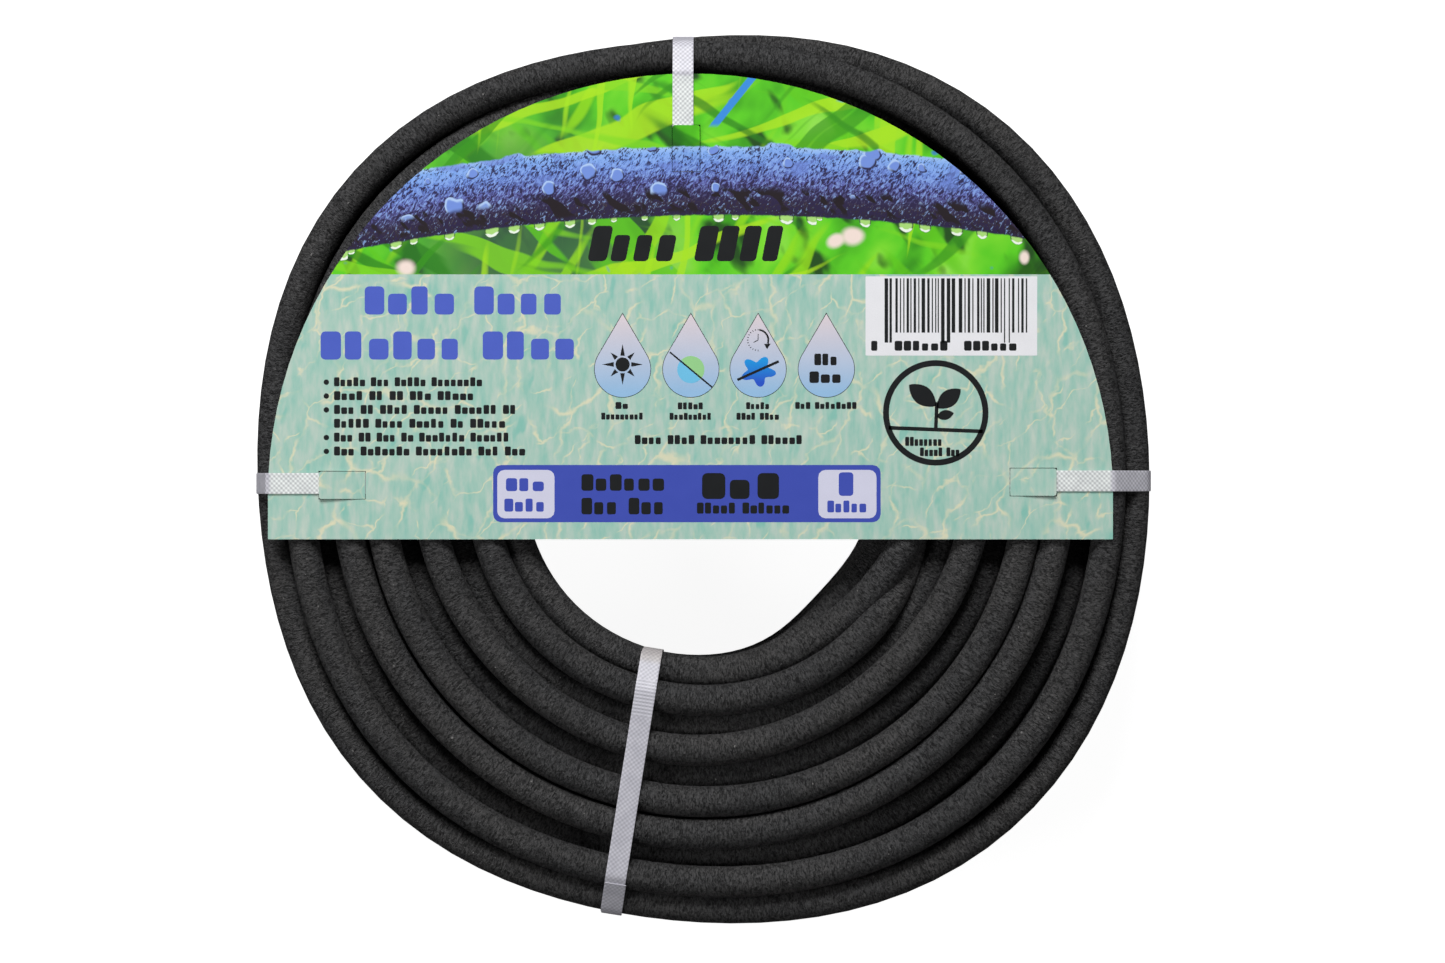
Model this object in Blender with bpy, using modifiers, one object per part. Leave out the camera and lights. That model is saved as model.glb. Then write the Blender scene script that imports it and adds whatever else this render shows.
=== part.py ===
"""Soaker hose: 50 m of porous hose wound into a flat coil, as it is sold.

The coil lies on its back with its labelled face up: +Z is out of that face and +Y is the label's top.
Four welded plastic straps hold the turns together. Three of them also hold the half-round card label:
each runs over the card's rim, dives through a window and passes under the tongue cut from that window.
The origin is at the middle of the underside. Metres.
"""

from math import asin, atan2, cos, hypot, pi, radians, sin, sqrt

import bmesh
import bpy
from mathutils import Matrix, Vector

# The hose and its coil. Turns lie in staggered layers, so the coil is half a turn deeper than its turns.
HOSE_DIAMETER = 0.016
TURNS_DEEP = 5
COIL_DEPTH = (TURNS_DEEP + 0.5) * HOSE_DIAMETER
CORNER_RADIUS = HOSE_DIAMETER / 2
CORNER_STEPS = 3
HOLE_RADIUS = 0.0885
RIM_RADIUS = 0.2304
RING_STEPS = 96

# The rim is pulled towards a square by the straps. Waves round it: crests, height, angle of one crest.
RIM_WAVES = ((2, 0.0021, -21), (3, 0.0024, 43), (4, 0.0056, 45))
COIL_CENTRE = Vector((0.0015, 0.0011, 0))

# Straps: flat plastic band, welded into closed loops round the coil's section.
STRAP_WIDTH = 0.0106
STRAP_THICKNESS = 0.0006
WELD_THICKNESS = 0.00055
WELD_LENGTH = 0.030
BEND_STEPS = 5

# The card label: half a disc on a straight foot.
CARD_THICKNESS = 0.0005
CARD_RADIUS = 0.2148
CARD_CENTRE = Vector((-0.0056, -0.0089))
CARD_FOOT = 0.0220
CARD_ARC_STEPS = 60
WINDOW_WIDTH = 0.0145
WINDOW_LENGTH = 0.0240
TONGUE_CORNER = 0.0012

# Room between pieces that touch.
GAP = 0.0003
WALL_GAP = 0.0006

# Heights, from the surface that the coil lies on.
COIL_BASE = STRAP_THICKNESS + GAP
COIL_TOP = COIL_BASE + COIL_DEPTH
UNDER_CARD = COIL_TOP + GAP
CARD_BASE = UNDER_CARD + STRAP_THICKNESS + GAP
OVER_CARD = CARD_BASE + CARD_THICKNESS + GAP

# A tongue rests on the strap, so it rises from its fold to clear the band by one gap.
TONGUE_RISE = OVER_CARD - UNDER_CARD
TONGUE_TILT = asin(TONGUE_RISE / WINDOW_LENGTH)

# Each strap: heading it leaves the hole on, degrees; how far it lies to the left of the centre line;
# and, where it holds the card, how far out its window's fold is and how far left the window lies.
STRAPS = {
    "top": {"heading": 90, "left": 0.0094, "fold": 0.1559, "window_left": 0.0078},
    "left": {"heading": 180, "left": 0.0025, "fold": 0.1707, "window_left": 0.0034},
    "right": {"heading": 0, "left": -0.0012, "fold": 0.1567, "window_left": -0.0018},
    "bottom": {"heading": 261, "left": -0.0113},
}
BOTTOM_WELD_END = 0.2100

MATERIALS = {
    "porous_rubber": ((0.028, 0.028, 0.030, 1), 0.80),
    "plastic_band": ((0.72, 0.72, 0.76, 1), 0.45),
    "printed_card": ((0.42, 0.58, 0.52, 1), 0.25),
}


def clear_scene():
    for obj in list(bpy.data.objects):
        bpy.data.objects.remove(obj, do_unlink=True)


def new_collection(name):
    collection = bpy.data.collections.new(name)
    bpy.context.scene.collection.children.link(collection)
    return collection


def new_material(name):
    colour, roughness = MATERIALS[name]
    material = bpy.data.materials.new(name)
    material.use_nodes = True
    shader = material.node_tree.nodes["Principled BSDF"]
    shader.inputs["Base Color"].default_value = colour
    shader.inputs["Roughness"].default_value = roughness
    shader.inputs["Metallic"].default_value = 0
    material.diffuse_color = colour
    return material


def new_object(name, data, collection, material_name=None):
    obj = bpy.data.objects.new(name, data)
    collection.objects.link(obj)
    if material_name:
        obj.data.materials.append(new_material(material_name))
    return obj


def evaluated_mesh(obj):
    """The object's mesh with its modifiers applied."""
    bpy.context.view_layer.update()
    return bpy.data.meshes.new_from_object(obj.evaluated_get(bpy.context.evaluated_depsgraph_get()))


def wave(angle):
    """How far the rim stands out from its mean radius at this angle."""
    return sum(height * cos(crests * (angle - radians(crest))) for crests, height, crest in RIM_WAVES)


def arc(centre, radii, start, end, steps):
    """Points of an ellipse's arc in the (out, up) plane, from start to end in degrees."""
    turns = [radians(start + (end - start) * step / steps) for step in range(steps + 1)]
    return [(centre[0] + radii[0] * cos(turn), centre[1] + radii[1] * sin(turn)) for turn in turns]


def ring_profile():
    """Section of the coil at +X: down its outer side, then up the wall of the hole."""
    inner = HOLE_RADIUS + CORNER_RADIUS
    outer = RIM_RADIUS - CORNER_RADIUS
    low = COIL_BASE + CORNER_RADIUS
    high = COIL_TOP - CORNER_RADIUS
    round_off = (CORNER_RADIUS, CORNER_RADIUS)
    return (
        arc((outer, high), round_off, 90, 0, CORNER_STEPS)
        + arc((outer, low), round_off, 0, -90, CORNER_STEPS)
        + arc((inner, low), round_off, 270, 180, CORNER_STEPS)
        + arc((inner, high), round_off, 180, 90, CORNER_STEPS)
    )


def build_coil(parts, helpers):
    """A turned ring, pressed out towards the lobes of its rim."""
    profile = ring_profile()
    mesh = bpy.data.meshes.new("coil_profile")
    points = [(out, 0, up) for out, up in profile]
    edges = [(i, (i + 1) % len(points)) for i in range(len(points))]
    mesh.from_pydata(points, edges, [])
    turned = new_object("coil_profile", mesh, helpers)
    turned.hide_render = True
    turned.display_type = "WIRE"
    screw = turned.modifiers.new("turn", "SCREW")
    screw.steps = RING_STEPS
    screw.render_steps = RING_STEPS
    screw.use_merge_vertices = True
    screw.merge_threshold = 1e-5

    ring = evaluated_mesh(turned)
    for vertex in ring.vertices:
        radius = hypot(vertex.co.x, vertex.co.y)
        angle = atan2(vertex.co.y, vertex.co.x)
        share = (radius - HOLE_RADIUS) / (RIM_RADIUS - HOLE_RADIUS)
        radius += share * wave(angle)
        vertex.co.x = radius * cos(angle)
        vertex.co.y = radius * sin(angle)
    coil = new_object("hose_coil", ring, parts, "porous_rubber")
    coil.location = COIL_CENTRE
    ring.shade_smooth()
    ring.set_sharp_from_angle(angle=radians(40))


def outward(heading):
    return Vector((cos(radians(heading)), sin(radians(heading)), 0))


def leftward(heading):
    return Vector((-sin(radians(heading)), cos(radians(heading)), 0))


def wall_distance(strap, side, radius_at):
    """How far out along the strap's heading a wall of the coil lies, on a line this far to its left."""
    out, left = outward(strap["heading"]), leftward(strap["heading"])
    distance = radius_at(radians(strap["heading"]))
    for _ in range(30):
        point = out * distance + left * side - COIL_CENTRE
        distance += radius_at(atan2(point.y, point.x)) - hypot(point.x, point.y)
    return distance


def strap_walls(strap):
    """The strap's inner and outer upright runs, clear of the coil over the whole width of the band."""
    sides = [strap["left"] + share * STRAP_WIDTH for share in (-0.5, 0, 0.5)]
    inner = min(wall_distance(strap, side, lambda angle: HOLE_RADIUS) for side in sides)
    outer = max(wall_distance(strap, side, lambda angle: RIM_RADIUS + wave(angle)) for side in sides)
    return inner - WALL_GAP, outer + WALL_GAP


def strap_path(strap, lift=0.0):
    """The side of the band that faces the coil, as (out, up) points of a closed loop: up the wall of the
    hole, out over the front, down the rim and back underneath. lift moves it away from the coil."""
    inner, outer = strap_walls(strap)
    bend = CORNER_RADIUS + WALL_GAP
    low = STRAP_THICKNESS
    over = OVER_CARD if "fold" in strap else UNDER_CARD
    base = low + bend
    under_top = UNDER_CARD - bend
    over_top = over - bend
    reach = bend + lift
    path = arc((inner + bend, base), (reach, reach), 270, 180, BEND_STEPS)
    path += arc((inner + bend, under_top), (reach, reach), 180, 90, BEND_STEPS)
    if "fold" in strap:
        path += [(strap["fold"], UNDER_CARD + lift)]
        path += [(strap["fold"] + WINDOW_LENGTH, OVER_CARD + lift)]
    path += arc((outer - bend, over_top), (reach, reach), 90, 0, BEND_STEPS)
    path += arc((outer - bend, base), (reach, reach), 0, -90, BEND_STEPS)
    return path


def band_object(name, strap, path, closed, thickness, collection, side_shift=0.0):
    """A band of the strap's width along a path, thickened away from the coil."""
    out, left = outward(strap["heading"]), leftward(strap["heading"])
    mesh = bpy.data.meshes.new(name)
    points = []
    for side in (-0.5, 0.5):
        across = left * (strap["left"] + side_shift + side * STRAP_WIDTH)
        points += [out * distance + across + Vector((0, 0, height)) for distance, height in path]
    count = len(path)
    faces = []
    for i in range(count if closed else count - 1):
        j = (i + 1) % count
        faces.append((i, j, count + j, count + i))
    mesh.from_pydata(points, [], faces)
    band = new_object(name, mesh, collection)
    solid = band.modifiers.new("thickness", "SOLIDIFY")
    solid.thickness = thickness
    solid.offset = 1
    solid.use_even_offset = True
    return band


def weld_path(strap, name):
    """Where the band's tail lies on its own start: near the front edge on the bottom strap, and on the
    upright run outside the coil on the others."""
    inner, outer = strap_walls(strap)
    lift = STRAP_THICKNESS - 0.5 * (STRAP_THICKNESS - WELD_THICKNESS)
    if name == "bottom":
        path = strap_path(strap, lift)
        corner = 2 * (BEND_STEPS + 1)
        return [(BOTTOM_WELD_END, path[corner][1])] + path[corner : corner + BEND_STEPS + 1]
    middle = COIL_BASE + COIL_DEPTH / 2
    return [(outer + lift, middle + WELD_LENGTH / 2), (outer + lift, middle - WELD_LENGTH / 2)]


def build_strap(name, parts, helpers):
    strap = STRAPS[name]
    band = band_object("band_" + name, strap, strap_path(strap), True, STRAP_THICKNESS, helpers)
    tail = band_object("tail_" + name, strap, weld_path(strap, name), False, WELD_THICKNESS, helpers)
    for helper in (band, tail):
        helper.hide_render = True
        helper.display_type = "WIRE"
    loop = new_object("strap_" + name, evaluated_mesh(band), parts, "plastic_band")
    weld = loop.modifiers.new("weld", "BOOLEAN")
    weld.operation = "UNION"
    weld.solver = "EXACT"
    weld.object = tail


def rectangle(out, left, length, width):
    """Corners of a box on the card, given from its inner end along a strap's heading."""
    corners = ((0, -0.5), (length, -0.5), (length, 0.5), (0, 0.5))
    return [out * distance + left * (side * width) for distance, side in corners]


def window_corners(strap, margin=0.0):
    """The window's corners on the card. margin pulls its three cut sides in."""
    out, left = outward(strap["heading"]), leftward(strap["heading"])
    fold = out * strap["fold"] + left * strap["window_left"]
    corners = rectangle(out, left, WINDOW_LENGTH - margin, WINDOW_WIDTH - 2 * margin)
    return [fold + corner for corner in corners]


def add_outline(curve, points):
    spline = curve.splines.new("POLY")
    spline.points.add(len(points) - 1)
    for point, place in zip(spline.points, points):
        point.co = (place[0], place[1], 0, 1)
    spline.use_cyclic_u = True


def card_outline():
    left, right = CARD_CENTRE.x - CARD_RADIUS, CARD_CENTRE.x + CARD_RADIUS
    foot = CARD_CENTRE.y - CARD_FOOT
    top = arc(CARD_CENTRE, (CARD_RADIUS, CARD_RADIUS), 0, 180, CARD_ARC_STEPS)
    return top + [(left, foot), (right, foot)]


def build_card(parts):
    """The flat card, with a window for each strap that holds it."""
    curve = bpy.data.curves.new("label_card", "CURVE")
    curve.dimensions = "2D"
    curve.fill_mode = "BOTH"
    curve.extrude = CARD_THICKNESS / 2
    add_outline(curve, card_outline())
    for strap in STRAPS.values():
        if "fold" in strap:
            add_outline(curve, window_corners(strap))
    card = new_object("label_card", curve, parts, "printed_card")
    card.location.z = CARD_BASE + CARD_THICKNESS / 2


def build_tongue(name, parts):
    """The flap cut from a window, hinged on its fold and lying on the strap."""
    strap = STRAPS[name]
    out, left = outward(strap["heading"]), leftward(strap["heading"])
    mesh = bpy.data.meshes.new("label_tongue_" + name)
    flap = bmesh.new()
    bmesh.ops.create_cube(flap, size=1)
    length = WINDOW_LENGTH - 2 * GAP
    width = WINDOW_WIDTH - 2 * GAP
    bmesh.ops.scale(flap, vec=(length, width, CARD_THICKNESS), verts=flap.verts)
    bmesh.ops.translate(flap, vec=(GAP + length / 2, 0, 0), verts=flap.verts)
    corners = [edge for edge in flap.edges if is_free_corner(edge)]
    bmesh.ops.bevel(flap, geom=corners, offset=TONGUE_CORNER, segments=3, profile=0.5, affect="EDGES")
    flap.to_mesh(mesh)
    flap.free()
    tongue = new_object("label_tongue_" + name, mesh, parts, "printed_card")
    fold = out * strap["fold"] + left * strap["window_left"]
    fold.z = CARD_BASE + CARD_THICKNESS / 2
    tilt = Matrix.Rotation(-TONGUE_TILT, 4, "Y")
    turn = Matrix.Rotation(radians(strap["heading"]), 4, "Z")
    tongue.matrix_world = Matrix.Translation(fold) @ turn @ tilt


def is_free_corner(edge):
    """True for an upright edge at the end of the flap that is away from its fold."""
    first, second = (vertex.co for vertex in edge.verts)
    upright = abs(first.x - second.x) < 1e-6 and abs(first.y - second.y) < 1e-6
    return upright and first.x > WINDOW_LENGTH / 2


def main():
    clear_scene()
    parts = new_collection("soaker_hose")
    helpers = new_collection("helpers")
    build_coil(parts, helpers)
    build_card(parts)
    for name, strap in STRAPS.items():
        build_strap(name, parts, helpers)
        if "fold" in strap:
            build_tongue(name, parts)


main()
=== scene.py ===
"""The looks of a strapped coil of soaker hose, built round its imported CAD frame.

Metres, in the frame of the CAD part: the coil lies on its back, +Z is out of its labelled face and
+Y is the label's top. The hose is one real tube from its inner end to its outer end.
"""

import random
from math import cos, hypot, pi, radians, sin, sqrt

import bpy
import numpy as np
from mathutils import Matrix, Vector


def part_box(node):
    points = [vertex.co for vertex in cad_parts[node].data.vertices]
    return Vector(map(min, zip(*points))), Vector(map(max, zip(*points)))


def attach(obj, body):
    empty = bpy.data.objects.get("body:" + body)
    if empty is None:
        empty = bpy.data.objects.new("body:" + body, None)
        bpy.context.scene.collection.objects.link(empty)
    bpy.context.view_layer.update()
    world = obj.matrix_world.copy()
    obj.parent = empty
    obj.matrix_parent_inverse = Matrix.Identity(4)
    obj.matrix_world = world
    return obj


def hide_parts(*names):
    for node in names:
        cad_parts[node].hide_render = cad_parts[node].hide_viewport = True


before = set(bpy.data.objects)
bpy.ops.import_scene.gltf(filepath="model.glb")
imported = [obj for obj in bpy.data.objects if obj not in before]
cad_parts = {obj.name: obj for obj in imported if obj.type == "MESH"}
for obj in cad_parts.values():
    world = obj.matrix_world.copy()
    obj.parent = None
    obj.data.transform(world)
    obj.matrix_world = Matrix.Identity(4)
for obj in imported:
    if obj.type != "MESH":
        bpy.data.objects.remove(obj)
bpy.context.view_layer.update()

chance = random.Random(7)

# ---- sizes, from the frame where it has them

COIL_LOW, COIL_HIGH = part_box("hose_coil")
CARD_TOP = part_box("label_card")[1].z

HOSE_DIAMETER = 0.016
HOSE_RADIUS = HOSE_DIAMETER / 2
HOSE_BORE = 0.0125

# Layers of turns, counted outwards from the hole: mean radius, share of the rim's waves that the layer
# takes, and how far its front turn lies below the flush ones.
LAYERS = (
    (0.1009, 0.10, 0.0065),
    (0.1147, 0.10, 0.0),
    (0.1277, 0.00, 0.0108),
    (0.1400, -0.22, 0.0),
    (0.1534, -0.15, 0.0125),
    (0.1667, 0.04, 0.0),
    (0.1836, 0.10, 0.0),
    (0.1973, 0.26, 0.0140),
    (0.2104, 0.64, 0.0),
    (0.2257, 0.98, 0.0085),
)
LEVELS = 5
LAYER_CENTRE = Vector((0.0008, 0.0013))
# Waves round the rim: crests, height, angle of one crest in degrees.
RIM_WAVES = ((1, 0.0018, 0), (2, 0.0012, -43), (3, 0.0020, 52), (4, 0.0047, -44), (5, 0.0007, 0))
# The coil leans: its back turns lie this far to one side of its front ones.
LEAN = Vector((-0.0030, -0.0035))
# Slow unevenness along the hose: amount, waves in each radian of the coil, start in radians.
RADIUS_DRIFT = ((0.00035, 0.731, 1.3), (0.0003, 2.137, 0.0))
HEIGHT_DRIFT = ((0.0001, 1.613, 0.4),)
# The inmost turns bulge into the hole behind the front one: how far, and where and how widely in degrees.
BULGE = 0.0062
BULGE_ANGLE = 317
BULGE_WIDTH = 22

STRAP_WIDTH = 0.0106
STRAP_THICKNESS = 0.00055
STRAP_CLEARANCE = 0.0001
# Heights of the middle of a strap where it dips under the card and where it lies on it.
STRAP_UNDER_CARD = 0.0895
STRAP_OVER_CARD = 0.0912
WINDOW_LENGTH = 0.0240
# Each strap: CAD node, heading from the middle of the hole in degrees, how far its middle lies to the
# left of that heading, and where it dips under the card. The bottom one doesn't touch the card.
STRAPS = (
    ("strap_top", 90, 0.0094, 0.1559),
    ("strap_left", 180, 0.0025, 0.1707),
    ("strap_right", 0, -0.0012, 0.1567),
    ("strap_bottom", 261, -0.0113, None),
)
# The card's round edge.
CARD_RADIUS = 0.2148
CARD_CENTRE = Vector((-0.0056, -0.0089))


# ---- small helpers


def smooth(share):
    """0 to 1 with level ends."""
    return 0.5 - 0.5 * np.cos(pi * np.clip(share, 0, 1))


def linear(*srgb):
    """A colour given in 0..255 screen values, as the linear values that shaders take."""
    values = [value / 255 for value in srgb]
    return tuple(v / 12.92 if v <= 0.04045 else ((v + 0.055) / 1.055) ** 2.4 for v in values) + (1.0,)


def mesh_object(name, points, faces, rounded=True):
    mesh = bpy.data.meshes.new(name)
    mesh.from_pydata([tuple(point) for point in points], [], faces)
    mesh.validate()
    mesh.update()
    if rounded:
        mesh.shade_smooth()
    obj = bpy.data.objects.new(name, mesh)
    bpy.context.scene.collection.objects.link(obj)
    return obj


class NodeTree:
    """A node material, built by calls: add a node by its type, its sockets by name or index."""

    def __init__(self, name):
        self.material = bpy.data.materials.new(name)
        self.material.use_nodes = True
        self.tree = self.material.node_tree
        self.tree.nodes.clear()
        self.output = self.tree.nodes.new("ShaderNodeOutputMaterial")

    def add(self, kind, inputs=None, **settings):
        node = self.tree.nodes.new("ShaderNode" + kind)
        for key, value in settings.items():
            setattr(node, key, value)
        for key, value in (inputs or {}).items():
            self.put(node.inputs[key], value)
        return node

    def put(self, socket, value):
        """Links a node or a socket to this one, or sets it. A colour of three numbers is in screen values."""
        if isinstance(value, bpy.types.NodeSocket):
            self.tree.links.new(value, socket)
        elif isinstance(value, bpy.types.Node):
            self.tree.links.new(value.outputs[0], socket)
        elif socket.type == "RGBA" and len(value) == 3:
            socket.default_value = linear(*value)
        else:
            socket.default_value = value

    def maths(self, operation, *values):
        node = self.add("Math", operation=operation)
        for socket, value in zip(node.inputs, values):
            self.put(socket, value)
        return node.outputs[0]

    def plus(self, *values):
        return self.maths("ADD", *values)

    def minus(self, *values):
        return self.maths("SUBTRACT", *values)

    def times(self, *values):
        return self.maths("MULTIPLY", *values)

    def vectors(self, operation, first, second, output=0):
        return self.add("VectorMath", {0: first, 1: second}, operation=operation).outputs[output]

    def mix(self, factor, first, second, blend="MIX"):
        node = self.add("Mix", data_type="RGBA", blend_type=blend)
        self.put(node.inputs[0], factor)
        self.put(node.inputs[6], first)
        self.put(node.inputs[7], second)
        return node.outputs[2]

    def step(self, value, low, high, smoothly=True):
        """0 on low's side, 1 on high's side, and a slope between them."""
        node = self.add("MapRange", {"Value": value, "From Min": low, "From Max": high})
        node.interpolation_type = "SMOOTHSTEP" if smoothly else "LINEAR"
        return node.outputs[0]

    def noise(self, vector, scale, detail=2.0, roughness=0.5, distortion=0.0):
        inputs = {"Vector": vector, "Scale": scale, "Detail": detail, "Roughness": roughness}
        return self.add("TexNoise", inputs | {"Distortion": distortion}).outputs[0]

    def mapped(self, vector, scale=(1, 1, 1), turn=0.0, move=(0, 0, 0)):
        """The vector turned about Z, then scaled along its own axes, then moved."""
        if turn:
            vector = self.add("Mapping", {"Vector": vector, "Rotation": (0, 0, turn)}).outputs[0]
        return self.add("Mapping", {"Vector": vector, "Scale": scale, "Location": move}).outputs[0]

    def bent(self, vector, scale, detail, reach):
        """The vector pushed about by noise, so that what is drawn with it isn't straight."""
        wander = self.add("TexNoise", {"Vector": vector, "Scale": scale, "Detail": detail}).outputs["Color"]
        wander = self.vectors("SUBTRACT", wander, (0.5, 0.5, 0.5))
        wander = self.add("VectorMath", {0: wander, "Scale": reach}, operation="SCALE").outputs[0]
        return self.vectors("ADD", vector, wander)

    def ramp(self, value, stops):
        node = self.add("ValToRGB", {0: value})
        elements = node.color_ramp.elements
        while len(elements) < len(stops):
            elements.new(0.5)
        for element, (place, colour) in zip(elements, stops):
            element.position = place
            element.color = linear(*colour)
        return node.outputs[0]

    def surface(self, **sockets):
        """Ends the material in a Principled shader, its sockets given by name with _ for a space."""
        inputs = {name.replace("_", " "): value for name, value in sockets.items()}
        principled = self.add("BsdfPrincipled", inputs)
        self.tree.links.new(principled.outputs[0], self.output.inputs["Surface"])
        return self.material


# ---- camera

# The camera looks straight down from this far over the coil's face, which the picture spans this much of.
CAMERA_HEIGHT = 1.60
FRAME_WIDTH = 0.7372
FACE_HEIGHT = 0.085
CAMERA_PLACE = (0.0107, -0.0015)
SENSOR_WIDTH = 36


def add_camera():
    data = bpy.data.cameras.new("camera")
    data.sensor_width = SENSOR_WIDTH
    data.lens = SENSOR_WIDTH * CAMERA_HEIGHT / FRAME_WIDTH
    camera = bpy.data.objects.new("camera", data)
    camera.location = (*CAMERA_PLACE, FACE_HEIGHT + CAMERA_HEIGHT)
    bpy.context.scene.collection.objects.link(camera)
    bpy.context.scene.camera = camera


# ---- the hose

# Where each layer's last turn passes out to the next layer, in degrees from +X: middle and half-width.
STEPS_OUT = ((-22, 38), (10, 32), (45, 32), (55, 32), (65, 32), (75, 32), (85, 32), (88, 32), (84, 45))
# The hose climbs to the front in one layer and goes down again in the next. For each such pair, in degrees:
# where it comes up to the front, and where it leaves it.
FRONT_STEPS = ((4, -25), (68, 25), (88, 45), (108, 65), (140, 90))
# The turns behind change level this many degrees apart, so that none runs into the one ahead of it.
FOLLOW = 6
# Half-width in degrees of a stretch where a turn changes level, and the same in the last climbing layer.
RISE_HALF = 22
LAST_RISE_HALF = 50
# Where it passes to the next layer it rides over, or under, its neighbours by this much.
RIDE_OVER = 0.004
HOSE_START = 240.0
HOSE_END = 360 * LEVELS * len(LAYERS) - 75.0
RINGS_PER_TURN = 96
SIDES = 18


def wave(angle):
    """How far the rim stands out from its mean radius, for an array of angles in radians."""
    return sum(height * np.cos(crests * (angle - radians(crest))) for crests, height, crest in RIM_WAVES)


def turn_place(index):
    """Layer and level below the front of the turn with this index, counted from the hose's inner end."""
    layer, step = divmod(index, LEVELS)
    return layer, (LEVELS - 1 - step if layer % 2 == 0 else step)


def turn_height(index):
    """Height of the middle of the hose in this turn."""
    layer, level = turn_place(index)
    top = COIL_HIGH.z - HOSE_RADIUS - LAYERS[layer][2]
    pitch = min(HOSE_DIAMETER, (top - COIL_LOW.z - HOSE_RADIUS) / (LEVELS - 1))
    return top - level * pitch


def crossing(index):
    """Middle and half-width in degrees of the stretch where turn index passes into the next turn."""
    layer, step = divmod(index, LEVELS)
    coming_up, going_down = FRONT_STEPS[layer // 2]
    if step == LEVELS - 1:
        middle, half = STEPS_OUT[layer]
    elif layer % 2:
        middle, half = going_down - FOLLOW * step, RISE_HALF
    else:
        middle = coming_up + FOLLOW * (LEVELS - 2 - step)
        half = LAST_RISE_HALF if layer == len(LAYERS) - 2 else RISE_HALF
    return 360 * (index + 1) + middle, half


def drift(angle, waves):
    return sum(amount * np.sin(rate * angle + start) for amount, rate, start in waves)


def hose_line():
    """Centre of the hose at even steps of angle, as an array of points, from its inner end to its outer."""
    count = round((HOSE_END - HOSE_START) / 360 * RINGS_PER_TURN) + 1
    travel = np.linspace(HOSE_START, HOSE_END, count)
    angle = np.radians(travel)

    def radius_of(layer):
        return LAYERS[layer][0] + LAYERS[layer][1] * wave(angle)

    radius = radius_of(0)
    height = np.full(count, turn_height(0))
    for index in range(len(LAYERS) * LEVELS - 1):
        middle, half = crossing(index)
        share = smooth((travel - middle + half) / (2 * half))
        layer, next_layer = turn_place(index)[0], turn_place(index + 1)[0]
        radius += share * (radius_of(next_layer) - radius_of(layer))
        height += share * (turn_height(index + 1) - turn_height(index))
        if next_layer != layer:
            side = 1 if layer % 2 == 0 else -1
            height += side * RIDE_OVER * np.sin(pi * share) ** 2
    inmost = 1 - smooth((travel - 360 * (LEVELS - 1)) / 360)
    away = (travel - BULGE_ANGLE + 180) % 360 - 180
    radius -= BULGE * inmost * np.exp(-((away / BULGE_WIDTH) ** 2))
    radius += drift(angle, RADIUS_DRIFT)
    height += drift(angle, HEIGHT_DRIFT)
    front = COIL_HIGH.z - HOSE_RADIUS
    depth = (front - height) / (front - COIL_LOW.z - HOSE_RADIUS)
    x = LAYER_CENTRE.x + radius * np.cos(angle) + LEAN.x * depth
    y = LAYER_CENTRE.y + radius * np.sin(angle) + LEAN.y * depth
    return np.stack([x, y, height], axis=1)


def tube_rings(line, radius):
    """Rings of points round a line that lies nearly flat."""
    along = np.gradient(line, axis=0)
    along /= np.linalg.norm(along, axis=1)[:, None]
    out = np.cross(along, (0.0, 0.0, 1.0))
    out /= np.linalg.norm(out, axis=1)[:, None]
    up = np.cross(out, along)
    turn = 2 * pi * np.arange(SIDES)[None, :, None] / SIDES
    return line[:, None, :] + radius * (np.cos(turn) * out[:, None, :] + np.sin(turn) * up[:, None, :])


BORE_DEPTH_RINGS = 3


def hose_mesh(line):
    """The tube with its two cut ends open: a ring of wall, a short bore and its floor."""
    rings = tube_rings(line, HOSE_RADIUS)
    points = list(rings.reshape(-1, 3))
    count = len(line)
    faces = []

    def bridge(first, second):
        for side in range(SIDES):
            after = (side + 1) % SIDES
            faces.append((first + side, first + after, second + after, second + side))

    for ring in range(count - 1):
        bridge(ring * SIDES, (ring + 1) * SIDES)
    bore = tube_rings(line, HOSE_BORE / 2)
    for end, inward in ((0, 1), (count - 1, -1)):
        before = end * SIDES
        for depth in range(BORE_DEPTH_RINGS):
            start = len(points)
            points += list(bore[end + inward * depth])
            if inward > 0:
                bridge(start, before)
            else:
                bridge(before, start)
            before = start
        floor = list(range(before, before + SIDES))
        faces.append(tuple(floor if inward < 0 else reversed(floor)))
    return points, faces


def add_attribute(mesh, name, values):
    """A number or a vector on each point, for a material to read."""
    values = np.asarray(values, np.float32)
    kind, key = ("FLOAT", "value") if values.ndim == 1 else ("FLOAT_VECTOR", "vector")
    mesh.attributes.new(name, kind, "POINT").data.foreach_set(key, values.ravel())


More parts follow.
